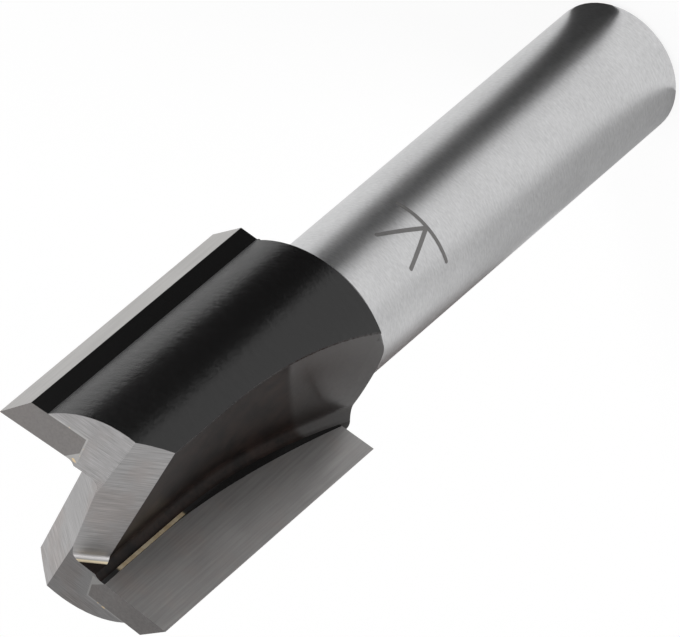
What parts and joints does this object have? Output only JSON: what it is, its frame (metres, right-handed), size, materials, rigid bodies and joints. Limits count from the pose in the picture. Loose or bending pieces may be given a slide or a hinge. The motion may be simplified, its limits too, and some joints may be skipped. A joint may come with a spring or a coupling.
{
  "type": "straight router bit",
  "caption": "Straight router bit: round steel shank, wider fluted head and brazed carbide cutting plates, standing on its shank end.",
  "frame": {"origin": "centre of the shank's flat end face, which the bit stands on", "axes": "+Z along the bit's axis from the shank to the cutting end; +X through the first plate's cutting edge"},
  "size_m": [0.014, 0.012, 0.053],
  "materials": {
    "steel": "ground shank, head painted gloss black",
    "carbide": "ground",
    "braze": "silver braze"
  },
  "bodies": {
    "root": {"steel_body": "steel", "carbide_tip_1": "carbide", "carbide_tip_2": "carbide", "braze_layer_1": "braze", "braze_layer_2": "braze"}
  },
  "joints": []
}
